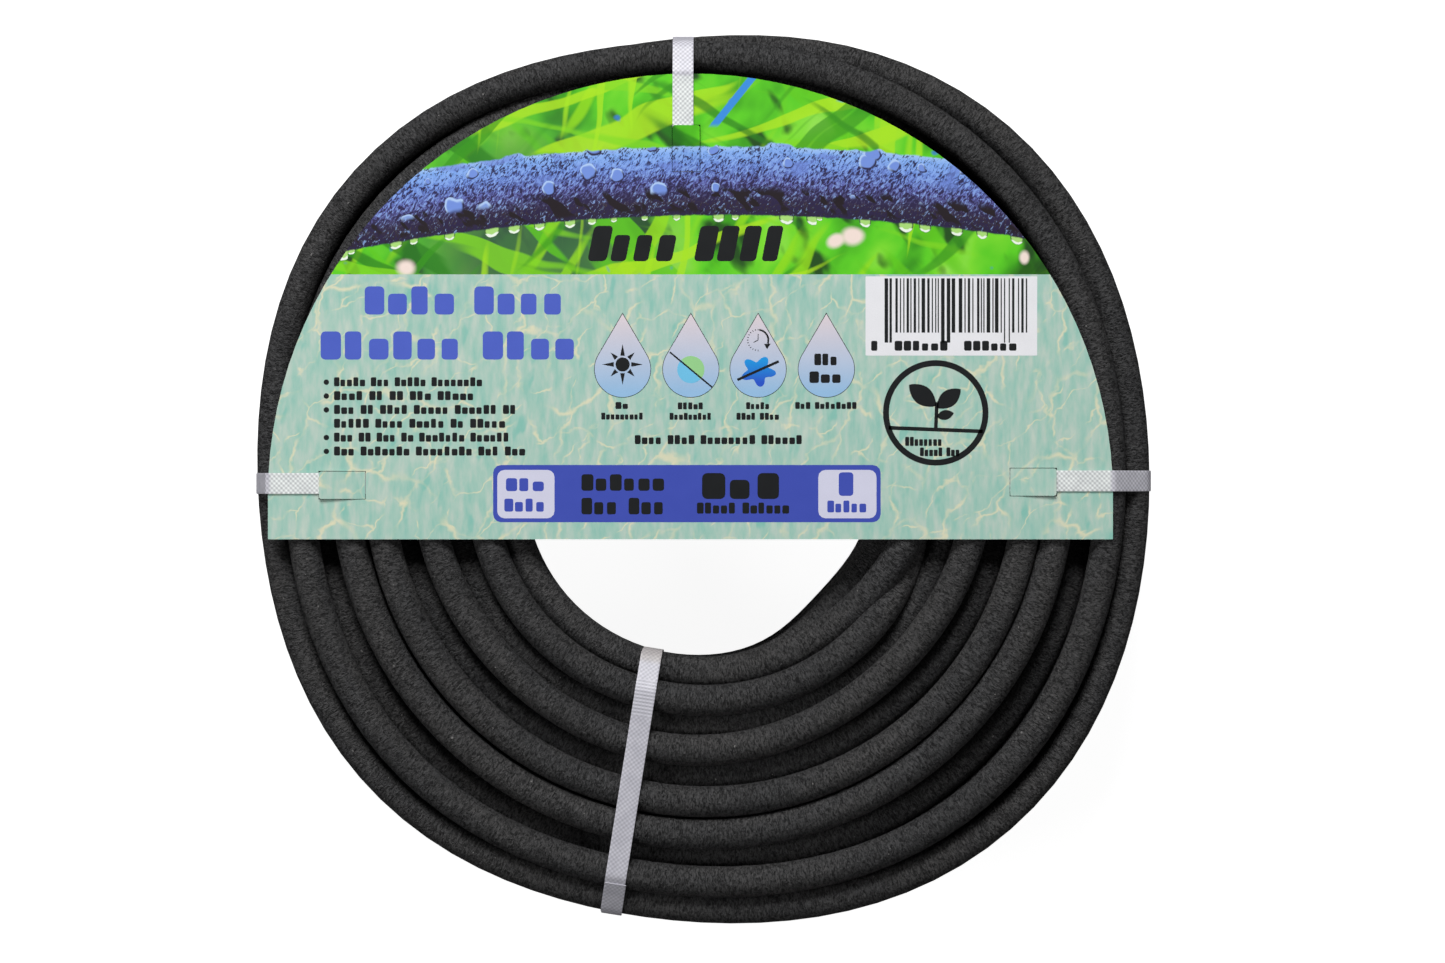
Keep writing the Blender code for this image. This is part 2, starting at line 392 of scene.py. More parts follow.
def rubber_material():
    """Recycled rubber crumb: near black, wrinkled across like leather, with a few paler grains."""
    tree = NodeTree("porous_rubber_grain")
    place = tree.add("Attribute", attribute_name="hose_place").outputs["Vector"]
    wrinkle = tree.noise(tree.mapped(place, (420, 420, 1050)), 1.0, 3, 0.6, 0.9)
    crumb = tree.noise(tree.mapped(place, (1000, 1000, 1500)), 1.0, 2, 0.6)
    grain = tree.plus(tree.times(wrinkle, 0.75), tree.times(crumb, 0.25))
    patches = tree.noise(tree.mapped(place, (60, 60, 14)), 1.0, 3, 0.6)
    fleck = tree.step(tree.noise(tree.mapped(place, (420, 420, 420)), 1.0, 1, 0.5), 0.785, 0.80)
    colour = tree.mix(tree.step(grain, 0.36, 0.64), (17, 17, 18), (74, 74, 75))
    worn = tree.mix(tree.step(grain, 0.36, 0.64), (24, 24, 24), (82, 81, 81))
    colour = tree.mix(tree.step(patches, 0.35, 0.7), colour, worn)
    colour = tree.mix(tree.times(fleck, 0.6), colour, (150, 148, 146))
    bump = tree.add("Bump", {"Strength": 1.0, "Distance": 0.0020, "Height": grain})
    return tree.surface(Base_Color=colour, Roughness=0.62, Specular_IOR_Level=0.22, Normal=bump)


# The bores' points, which come last, take places this share of the way out to the first ring.
BORE_PLACE = 0.8


def hose_places(line, count):
    """Each point's place on the hose as if it were straight, which the rubber's grain follows."""
    steps = np.linalg.norm(np.diff(line, axis=0), axis=1)
    along = np.concatenate([[0.0], np.cumsum(steps)])
    turn = 2 * pi * np.arange(SIDES) / SIDES
    places = np.zeros((count, 3))
    skin = places[: len(line) * SIDES].reshape(len(line), SIDES, 3)
    skin[:, :, 0] = HOSE_RADIUS * np.cos(turn)
    skin[:, :, 1] = HOSE_RADIUS * np.sin(turn)
    skin[:, :, 2] = along[:, None]
    ends = count - len(line) * SIDES
    places[len(line) * SIDES :] = np.resize(skin[0] * BORE_PLACE, (ends, 3))
    return places


def build_hose():
    line = hose_line()
    points, faces = hose_mesh(line)
    hose = mesh_object("hose", points, faces)
    hose.data.set_sharp_from_angle(angle=radians(60))
    add_attribute(hose.data, "hose_place", hose_places(line, len(points)))
    hose.data.materials.append(rubber_material())
    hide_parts("hose_coil")
    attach(hose, "coil")
    return line


# ---- the straps

BAND_STEP = 0.00045
BAND_COLUMNS = 24
WAFFLE_PITCH = 0.0024
WAFFLE_HEIGHT = 0.00007
# The bottom strap is marked across by its tensioner on this stretch of its front.
RIBBED = (0.104, 0.126)
RIB_PITCH = 0.0018
RIB_HEIGHT = 1.6 * WAFFLE_HEIGHT
EDGE_DROP = 0.00012
# The weld: how far the band runs on over its own start, how long its climb there is, how far it slips to the
# side, and the room between the two.
WELD_OVERLAP = 0.030
WELD_RAMP = 0.003
WELD_SHIFT = 0.0004
WELD_ROOM = 0.00012
# The band's outer end lies on the rim at this height, or on the bottom strap this far out.
WELD_END = 0.06
BOTTOM_WELD_END = 0.2100
# A point of a strap is on the rim if it is further out and higher than this, and on the front, where the
# ribs are, or on the card if it is higher than this.
RIM_OUT = 0.17
RIM_FOOT = 0.055
FRONT_FOOT = 0.08
RIBBED_FOOT = 0.07
CARD_FOOT = 0.088
# In the hole, inwards from here and above here, a strap takes a painted warm shade, darker and warmer in
# colour.
WARM_SHADE_OUT = 0.0985
WARM_SHADE_FOOT = 0.04
FADE = 0.004
# The plain underside's painted shade, between a crest of the weave at 0, painted lighter, and a hollow at 1,
# painted darker.
WEAVE_SHADE_UNDER = 0.45
ROUND_STEPS = 36


def hull(points):
    """Convex hull of (out, up) points, clockwise."""
    points = sorted(set(map(tuple, points)))

    def chain(ordered):
        kept = []
        for x, y in ordered:
            while len(kept) > 1:
                (ax, ay), (bx, by) = kept[-2:]
                if (bx - ax) * (y - ay) - (by - ay) * (x - ax) < 0:
                    break
                kept.pop()
            kept.append((x, y))
        return kept[:-1]

    return chain(points) + chain(points[::-1])


def resampled(loop):
    """A closed loop at steps of BAND_STEP, its corners eased."""
    loop = np.asarray(loop)
    around = np.vstack([loop, loop[:1]])
    along = np.concatenate([[0], np.cumsum(np.linalg.norm(np.diff(around, axis=0), axis=1))])
    count = round(along[-1] / BAND_STEP)
    even = np.linspace(0, along[-1], count, endpoint=False)
    loop = np.stack([np.interp(even, along, around[:, axis]) for axis in (0, 1)], axis=1)
    for _ in range(3):
        loop = (np.roll(loop, 1, axis=0) + loop + np.roll(loop, -1, axis=0)) / 3
    return loop


def card_edge(heading, left):
    """How far out the card's round edge is along a strap."""
    out = Vector((cos(radians(heading)), sin(radians(heading))))
    aside = Vector((-out.y, out.x))
    along = CARD_CENTRE.dot(out)
    across = left - CARD_CENTRE.dot(aside)
    return along + sqrt(CARD_RADIUS**2 - across**2)


PAST_EDGE = 0.001


def strap_loop(line, heading, left, fold):
    """The middle of a strap's thickness, clockwise in (out, up): taut round the turns, and over the card."""
    out = np.array([cos(radians(heading)), sin(radians(heading))])
    aside = np.array([-out[1], out[0]])
    across = line[:, :2] @ aside - left
    forward = line[:, :2] @ out
    # Where the hose crosses the strap's plane on its own side of the hole, as (out, up) points.
    before = np.nonzero((across[:-1] * across[1:] <= 0) & (forward[:-1] > 0))[0]
    share = across[before] / (across[before] - across[before + 1])
    middles = np.stack([forward, line[:, 2]], axis=1)
    middles = middles[before] + share[:, None] * (middles[before + 1] - middles[before])
    turn = 2 * pi * np.arange(ROUND_STEPS) / ROUND_STEPS
    reach = HOSE_RADIUS + STRAP_CLEARANCE + STRAP_THICKNESS / 2
    rounds = middles[:, None, :] + reach * np.stack([np.cos(turn), np.sin(turn)], axis=1)
    points = rounds.reshape(-1, 2)
    if fold is None:
        return resampled(hull(points))
    window = (fold + WINDOW_LENGTH, STRAP_OVER_CARD)
    edge = (card_edge(heading, left) + PAST_EDGE, STRAP_OVER_CARD)
    loop = hull(list(points) + [window, edge])
    start = loop.index(window)
    return resampled(loop[start:] + loop[:start] + [(fold, STRAP_UNDER_CARD)])


def strap_material():
    """White polypropylene band, embossed. Painted light: paler where the card behind lights it, greyer where
    only dark hose lies behind it; painted warm shade in the hole; painted shade and highlight on the weave.
    """
    tree = NodeTree("plastic_band_embossed")
    place = tree.add("TexCoord").outputs["Object"]
    card_backlight = tree.add("Attribute", attribute_name="card_backlight").outputs["Fac"]
    warm_shade = tree.add("Attribute", attribute_name="warm_shade").outputs["Fac"]
    cloud = tree.noise(place, 160, 3, 0.6)
    fine = tree.noise(place, 1500, 2, 0.5)
    # Painted light: the band is paler where light from the card shines back through it, greyer over the dark
    # hose.
    colour = tree.mix(card_backlight, (202, 201, 209), (231, 235, 233))
    # Painted warm shade on the band where it lies in the hole.
    colour = tree.mix(warm_shade, colour, (184, 179, 178))
    # Painted shade in the weave's hollows and a painted highlight on its crests.
    weave_shade = tree.add("Attribute", attribute_name="weave_shade").outputs["Fac"]
    dim = tree.mix(weave_shade, (1.25, 1.25, 1.25, 1), (0.54, 0.54, 0.56, 1))
    colour = tree.mix(1.0, colour, dim, "MULTIPLY")
    shade = tree.mix(tree.step(cloud, 0.3, 0.7), (0.92, 0.92, 0.93, 1), (1.05, 1.05, 1.05, 1))
    colour = tree.mix(1.0, colour, shade, "MULTIPLY")
    rough = tree.step(fine, 0.2, 0.8, False)
    rough = tree.plus(tree.times(rough, 0.14), 0.36)
    bump = tree.add("Bump", {"Strength": 0.2, "Distance": 0.0002, "Height": fine})
    return tree.surface(
        Base_Color=colour, Roughness=rough, Specular_IOR_Level=0.45, Normal=bump,
        Subsurface_Weight=0.12, Subsurface_Radius=(0.001, 0.001, 0.001), Subsurface_Scale=0.5,
    )


def weld_point(loop, fold):
    """Which point of the loop the band's outer end lies on."""
    on_rim = np.nonzero((loop[:, 1] > RIM_FOOT) & (loop[:, 0] > RIM_OUT))[0]
    out, up = loop[on_rim].T
    if fold is None:
        behind = up < FRONT_FOOT
        return on_rim[np.argmin(abs(out - BOTTOM_WELD_END) + 10 * behind)]
    return on_rim[np.argmin(abs(up - WELD_END))]


def band_path(loop, last):
    """The band's (out, up) points from its inner end, over its own overlap, to the loop's point last.

    Also their outward normals, how far along each is, and its climb over the overlap, from 0 to 1.
    """
    order = np.arange(last - round(WELD_OVERLAP / BAND_STEP), last + len(loop))
    travelled = (order - order[0]) * BAND_STEP
    tangent = (np.roll(loop, -1, axis=0) - np.roll(loop, 1, axis=0))[order % len(loop)]
    tangent /= np.linalg.norm(tangent, axis=1)[:, None]
    normal = np.stack([tangent[:, 1], -tangent[:, 0]], axis=1)
    climb = smooth((travelled - (len(loop) * BAND_STEP - WELD_RAMP)) / WELD_RAMP)
    path = loop[order % len(loop)] + normal * (climb * (STRAP_THICKNESS + WELD_ROOM))[:, None]
    return path, normal, travelled, climb


def ripple(distance, pitch):
    return np.cos(2 * pi * distance / pitch)


def embossing(path, travelled, across, fold):
    """How far the band's skin rises at each point: a waffle all over, ribs where the tensioner held it."""
    marked = np.zeros(len(path))
    if fold is None:
        front = path[:, 1] > RIBBED_FOOT
        marked = front * smooth((path[:, 0] - RIBBED[0]) / FADE) * smooth((RIBBED[1] - path[:, 0]) / FADE)
    marked, along = marked[:, None], travelled[:, None]
    waffle = ripple(along, WAFFLE_PITCH) * ripple(across, WAFFLE_PITCH)
    rib = ripple(along, RIB_PITCH) * (0.65 + 0.35 * ripple(across, RIB_PITCH))
    return WAFFLE_HEIGHT * waffle * (1 - marked) + RIB_HEIGHT * rib * marked


def sleeve_faces(count, width):
    """Faces of count rings of width points each, closed at both ends."""
    faces = []
    for row in range(count - 1):
        first, second = row * width, (row + 1) * width
        for column in range(width):
            after = (column + 1) % width
            faces.append((first + column, first + after, second + after, second + column))
    faces.append(tuple(range(width))[::-1])
    faces.append(tuple(range((count - 1) * width, count * width)))
    return faces


def band_tones(path, heading, left, fold):
    """From 0 to 1, how far each point of the band lies on the card, for the painted light from the card
    behind it, and how much painted warm shade it takes in the hole.
    """
    backlight_share = np.zeros(len(path))
    if fold is not None:
        edge = card_edge(heading, left)
        front = path[:, 1] > CARD_FOOT
        backlight_share = front * smooth((path[:, 0] - fold) / FADE) * smooth((edge - path[:, 0]) / (FADE / 2))
    # Painted warm shade in the hole, inwards and above its edges.
    warm_shade = (path[:, 1] > WARM_SHADE_FOOT) * smooth((WARM_SHADE_OUT - path[:, 0]) / FADE)
    return backlight_share, warm_shade


def build_strap(line, node, heading, left, fold, material):
    """One strap: an embossed band round the turns that it crosses, welded to itself."""
    loop = strap_loop(line, heading, left, fold)[::-1]
    path, normal, travelled, climb = band_path(loop, weld_point(loop, fold))
    out = np.array([cos(radians(heading)), sin(radians(heading)), 0.0])
    aside = np.array([-out[1], out[0], 0.0])
    up = np.array([0.0, 0.0, 1.0])
    middle = path[:, :1] * out + path[:, 1:] * up + (left + WELD_SHIFT * climb)[:, None] * aside
    away = normal[:, :1] * out + normal[:, 1:] * up
    across = np.linspace(-0.5, 0.5, BAND_COLUMNS + 1) * STRAP_WIDTH
    rise = embossing(path, travelled, across, fold)
    edges = abs(across) > STRAP_WIDTH / 2 * 0.97
    height = STRAP_THICKNESS / 2 + rise - EDGE_DROP * edges
    skin = middle[:, None, :] + across[:, None] * aside + height[:, :, None] * away[:, None, :]
    under = middle[:, None, :] + across[[0, -1], None] * aside - STRAP_THICKNESS / 2 * away[:, None, :]
    rows = np.concatenate([skin, under[:, ::-1]], axis=1)
    count, width = rows.shape[:2]
    name = node.replace("strap", "band")
    band = mesh_object(name, rows.reshape(-1, 3), sleeve_faces(count, width))
    band.data.set_sharp_from_angle(angle=radians(50))
    backlight_share, warm_shade = band_tones(path, heading, left, fold)
    # Painted light shining back through the band from the card behind it.
    add_attribute(band.data, "card_backlight", np.repeat(backlight_share, width))
    add_attribute(band.data, "warm_shade", np.repeat(warm_shade, width))
    # Painted shade in the hollows of the weave, a painted highlight on its crests, and a middle shade on the
    # plain underside.
    weave_shade = np.full((count, width), WEAVE_SHADE_UNDER)
    weave_shade[:, : len(across)] = 0.5 - 0.5 * rise / abs(rise).max()
    add_attribute(band.data, "weave_shade", weave_shade.ravel())
    band.data.materials.append(material)
    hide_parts(node)
    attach(band, "coil")


# ---- the card's own printed picture

PICTURE_FOOT = 0.1038
# The picture's wet hose: its middle is this height plus a slope and a bend times x and x squared.
WET_MIDDLE = 0.1523
WET_SLOPE = 0.0113
WET_BEND = -0.5
WET_RADIUS = 0.0174
# The leaves below the wet hose are in shade round here.
DIM_MIDDLE = (-0.0850, 0.1150)
# Pale flower buds out of focus: middle and size.
BUDS = (
    ((-0.1510, 0.1080), 0.0062),
    ((0.0760, 0.1225), 0.0066),
    ((0.0690, 0.1200), 0.0048),
    ((0.1640, 0.1130), 0.0040),
)
# A blue stalk, standing above the wet hose: slope, height over x = 0, and where it begins.
STALK_SLOPE = 1.25
STALK_HEIGHT = 0.1715
STALK_FOOT = 0.178
# Drops hanging under the wet hose: how far apart, the smallest radius, and how much larger the largest is.
HANGING_PITCH = 0.0150
HANGING_LEAST = 0.0018
HANGING_RANGE = 0.0026
# Blades of grass: turn in radians, how many across and along in a metre, the noise above which one shows,
# and colour.
BLADES = (
    (0.55, 70, 6, 0.585, (150, 222, 20)),
    (-0.75, 66, 6, 0.585, (96, 200, 20)),
    (1.25, 92, 6, 0.60, (176, 230, 30)),
    (-1.05, 84, 6, 0.60, (40, 124, 24)),
    (-1.35, 78, 6, 0.60, (130, 216, 30)),
    (0.85, 96, 6, 0.61, (56, 150, 24)),
    (0.15, 118, 6, 0.62, (168, 228, 30)),
)


def foliage_colour(tree, place):
    """Grass and leaves out of focus."""
    bent = tree.bent(place, 26.0, 1.0, 0.011)
    leaf = tree.noise(tree.mapped(bent, (30, 20, 1), 0.6), 1.0, 3, 0.45)
    stops = (
        (0.30, (40, 96, 22)),
        (0.40, (62, 160, 26)),
        (0.50, (92, 206, 34)),
        (0.60, (124, 220, 46)),
        (0.72, (150, 226, 84)),
    )
    colour = tree.ramp(leaf, stops)
    gap = tree.noise(tree.mapped(bent, (62, 34, 1), -0.5, (5, 2, 0)), 1.0, 2, 0.5)
    colour = tree.mix(tree.step(gap, 0.54, 0.66), colour, (34, 78, 26))
    away = tree.vectors("DISTANCE", place, (*DIM_MIDDLE, 0), "Value")
    dim = tree.times(tree.step(away, 0.09, 0.02), 0.9)
    colour = tree.mix(dim, colour, (56, 92, 66))
    for number, (turn, wide, long, least, blade) in enumerate(BLADES):
        move = (3.1 * number, 1.7 * number, 0)
        streak = tree.noise(tree.mapped(bent, (wide, long, 1), turn, move), 1.0, 1, 0.4)
        share = tree.times(tree.step(streak, least, least + 0.05), 0.75)
        colour = tree.mix(share, colour, blade)
    fleck = tree.noise(tree.mapped(place, (80, 80, 1), 0, (9, 4, 0)), 1.0, 1, 0.5)
    colour = tree.mix(tree.step(fleck, 0.72, 0.78), colour, (60, 128, 196))
    for middle, size in BUDS:
        away = tree.vectors("DISTANCE", bent, (*middle, 0), "Value")
        colour = tree.mix(tree.step(away, size, size * 0.45), colour, (246, 226, 216))
    return colour


def wet_hose_colour(tree, place, across):
    """The wet hose of the picture: across runs from -1 at its lower edge to 1 at its upper one."""
    stops = (
        (0.00, (34, 24, 28)),
        (0.20, (58, 46, 56)),
        (0.48, (92, 96, 166)),
        (0.72, (104, 134, 212)),
        (0.92, (124, 168, 236)),
        (1.00, (166, 204, 246)),
    )
    colour = tree.ramp(tree.step(across, -1.0, 1.0, False), stops)
    weave = tree.noise(tree.mapped(place, (900, 380, 1), 0.6), 1.0, 3, 0.6, 0.9)
    worn = tree.noise(place, 90, 2, 0.5)
    bare = tree.plus(weave, tree.times(worn, 0.22))
    bare = tree.minus(bare, tree.times(across, 0.055))
    pits, crests = tree.step(bare, 0.60, 0.66), tree.step(bare, 0.57, 0.48)
    colour = tree.mix(tree.times(pits, 0.95), colour, (42, 34, 70))
    colour = tree.mix(tree.times(crests, 0.6), colour, (150, 186, 246))
    smear = tree.noise(tree.mapped(place, (60, 130, 1), 0.7, (2, 7, 0)), 1.0, 2, 0.5)
    low = tree.times(tree.step(across, -0.05, -0.35), tree.step(across, -0.98, -0.8))
    patch = tree.times(low, tree.step(smear, 0.53, 0.57))
    colour = tree.mix(patch, colour, (34, 26, 32))
    sheen = tree.noise(tree.mapped(place, (50, 90, 1), 0, (1, 3, 0)), 1.0, 2, 0.5)
    sheen = tree.times(tree.step(sheen, 0.55, 0.66), tree.step(across, -0.1, 0.35))
    colour = tree.mix(tree.times(sheen, 0.7), colour, (112, 138, 216))
    bent = tree.bent(place, 130.0, 1.0, 0.006)
    cells = tree.add("TexVoronoi", {"Vector": bent, "Scale": 56.0}, voronoi_dimensions="2D")
    bead_size = tree.add("SeparateColor", {0: cells.outputs["Color"]})
    reach = tree.plus(tree.times(bead_size.outputs[0], 0.24), 0.06)
    bead = tree.maths("DIVIDE", cells.outputs["Distance"], reach)
    kept = tree.maths("GREATER_THAN", bead_size.outputs[1], 0.2)
    high = tree.times(tree.step(across, -0.45, -0.25), kept)
    parts = tree.vectors("SUBTRACT", bent, cells.outputs["Position"])
    lean = tree.vectors("DOT_PRODUCT", parts, (-0.5, 0.86, 0), "Value")
    inside = tree.times(tree.step(bead, 1.0, 0.86), high)
    rim = tree.mix(tree.step(lean, -0.0015, 0.0012), (40, 34, 66), (176, 204, 244))
    colour = tree.mix(inside, colour, rim)
    middle = tree.times(tree.step(bead, 0.82, 0.6), high)
    return tree.mix(middle, colour, (116, 146, 222))


def hanging_drops(tree, x, below, colour):
    """A row of drops under the wet hose. below is the distance down from its lower edge."""
    cells = tree.add("TexVoronoi", {"W": x, "Scale": 1 / HANGING_PITCH}, voronoi_dimensions="1D")
    size = tree.add("SeparateColor", {0: cells.outputs["Color"]}).outputs[0]
    radius = tree.plus(tree.times(size, HANGING_RANGE), HANGING_LEAST)
    aside = tree.maths("DIVIDE", tree.times(cells.outputs["Distance"], HANGING_PITCH), radius)
    down = tree.minus(below, tree.times(radius, 0.15))
    down = tree.maths("DIVIDE", down, radius)
    squares = tree.plus(tree.maths("POWER", aside, 2.0), tree.maths("POWER", down, 2.0))
    away = tree.maths("SQRT", squares)
    colour = tree.mix(tree.step(away, 1.0, 0.88), colour, (62, 104, 48))
    colour = tree.mix(tree.step(away, 0.86, 0.7), colour, (170, 220, 120))
    foot = tree.times(tree.step(away, 0.95, 0.85), tree.step(away, 0.5, 0.66))
    foot = tree.times(foot, tree.step(down, 0.3, 0.5))
    return tree.mix(foot, colour, (240, 250, 236))


def picture_colour(tree, place, x, y):
    """The upper picture: foliage, and a wet hose lying across it with drops hanging from it."""
    colour = foliage_colour(tree, place)
    stalk = tree.plus(tree.times(x, STALK_SLOPE), STALK_HEIGHT)
    stalk = tree.maths("ABSOLUTE", tree.minus(y, stalk))
    risen = tree.step(y, STALK_FOOT, STALK_FOOT + 0.003)
    stalk = tree.times(tree.step(stalk, 0.0034, 0.0024), risen)
    colour = tree.mix(stalk, colour, (58, 142, 222))
    bend = tree.times(tree.times(x, x), WET_BEND)
    middle = tree.plus(bend, tree.times(x, WET_SLOPE))
    middle = tree.plus(middle, WET_MIDDLE)
    offset = tree.minus(y, middle)
    ragged = tree.times(tree.noise(place, 150, 3, 0.6), 0.0020)
    swell = tree.noise(tree.mapped(place, (46, 10, 1), 0, (3, 1, 0)), 1.0, 2, 0.6)
    swell = tree.times(tree.step(swell, 0.52, 0.66), tree.step(offset, 0.0, 0.008))
    offset = tree.plus(offset, ragged)
    offset = tree.minus(offset, tree.times(swell, 0.0022))
    across = tree.maths("DIVIDE", offset, WET_RADIUS)
    below = tree.minus(tree.times(offset, -1.0), WET_RADIUS)
    colour = hanging_drops(tree, x, below, colour)
    on_hose = tree.step(tree.maths("ABSOLUTE", across), 1.03, 0.97)
    return tree.mix(on_hose, colour, wet_hose_colour(tree, place, across))


def water_colour(tree, place):
    """Sunlit shallow water: pale aqua under a net of cream light."""
    bent = tree.bent(place, 70.0, 3.0, 0.017)
    streak = tree.noise(tree.mapped(place, (240, 60, 1)), 1.0, 3, 0.55)
    stops = (
        (0.30, (146, 196, 182)),
        (0.48, (166, 202, 188)),
        (0.62, (184, 206, 194)),
        (0.75, (196, 212, 198)),
    )
    colour = tree.ramp(streak, stops)
    blot = tree.noise(tree.mapped(place, (130, 52, 1), 0.2, (4, 4, 0)), 1.0, 2, 0.5)
    blot = tree.times(tree.step(blot, 0.60, 0.74), 0.8)
    colour = tree.mix(blot, colour, (128, 192, 178))
    for turn, scale, width, move in ((0.5, 42.0, 0.055, 0.0), (0.75, 66.0, 0.05, 3.0)):
        net = tree.mapped(bent, (1.0, 0.55, 1.0), turn, (move, 0, 0))
        edge = tree.add("TexVoronoi", {"Vector": net, "Scale": scale}, feature="DISTANCE_TO_EDGE")
        edge.voronoi_dimensions = "2D"
        patchy = tree.step(tree.noise(place, 45 + 20 * move, 2, 0.5), 0.38, 0.66)
        line = tree.times(tree.step(edge.outputs["Distance"], width, 0.0), patchy)
        colour = tree.mix(tree.times(line, 0.75), colour, (232, 224, 188))
    return colour


def card_material():
    """Printed card: the picture above, sunlit water below, bare white board behind and at the edges."""
    tree = NodeTree("printed_card_picture")
    coordinates = tree.add("TexCoord")
    place = coordinates.outputs["Object"]
    parts = tree.add("SeparateXYZ", {0: place})
    x, y = parts.outputs[0], parts.outputs[1]
    flat = tree.add("CombineXYZ", {0: x, 1: y}).outputs[0]
    upper = tree.maths("GREATER_THAN", y, PICTURE_FOOT)
    printed = tree.mix(upper, water_colour(tree, flat), picture_colour(tree, flat, x, y))
    facing = tree.add("SeparateXYZ", {0: coordinates.outputs["Normal"]}).outputs[2]
    board = tree.mix(tree.noise(place, 900, 3, 0.6), (226, 224, 218), (242, 241, 238))
    on_face = tree.maths("GREATER_THAN", facing, 0.9)
    colour = tree.mix(on_face, board, printed)
    rough = tree.plus(tree.times(tree.noise(place, 60, 2, 0.5), 0.12), 0.40)
    off_face = tree.minus(1.0, on_face)
    rough = tree.plus(rough, tree.times(off_face, 0.3))
    swell = tree.noise(place, 22, 2, 0.5)
    bump = tree.add("Bump", {"Strength": 0.12, "Distance": 0.002, "Height": swell})
    return tree.surface(Base_Color=colour, Roughness=rough, Specular_IOR_Level=0.3, Normal=bump)


def dress_card():
    """The card and its tongues keep their CAD meshes and take the printed picture."""
    material = card_material()
    for node in ("label_card", "label_tongue_top", "label_tongue_left", "label_tongue_right"):
        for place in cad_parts[node].material_slots:
            place.material = material


# ---- what is overprinted on the card

# How thick one layer of ink is. From here on, places and sizes on the card are in millimetres.
INK = 0.00003
MM = 0.001


def ink_material(name, *srgb, foot=None, head=None):
    """Printing ink with its screen showing faintly. With a second colour, it fades from foot up to head."""
    tree = NodeTree("ink_" + name)
    place = tree.add("TexCoord").outputs["Object"]
    colour = srgb[:3]
    if len(srgb) > 3:
        y = tree.add("SeparateXYZ", {0: place}).outputs[1]
        colour = tree.mix(tree.step(y, foot, head, False), srgb[3:], colour)
    screen = tree.noise(place, 1800, 1, 0.5)
    uneven = tree.noise(place, 90, 2, 0.5)
    tone = tree.plus(tree.times(screen, 0.10), tree.times(uneven, 0.08))
    tone = tree.plus(tone, 0.91)
    tone = tree.add("CombineXYZ", {0: tone, 1: tone, 2: tone}).outputs[0]
    colour = tree.mix(1.0, colour, tone, "MULTIPLY")
    rough = tree.plus(tree.times(uneven, 0.12), 0.40)
    return tree.surface(Base_Color=colour, Roughness=rough, Specular_IOR_Level=0.3)


# Greeked lettering, as shares of a line's height or of one letter's room.
WORD_GAP = 0.7
TALL_SHARE = 0.25
LOW_LETTER = 0.74
NARROW_LETTER = 0.66
WIDE_LETTER = 0.84


def polar(x, y, reach, angle):
    return x + reach * cos(angle), y + reach * sin(angle)


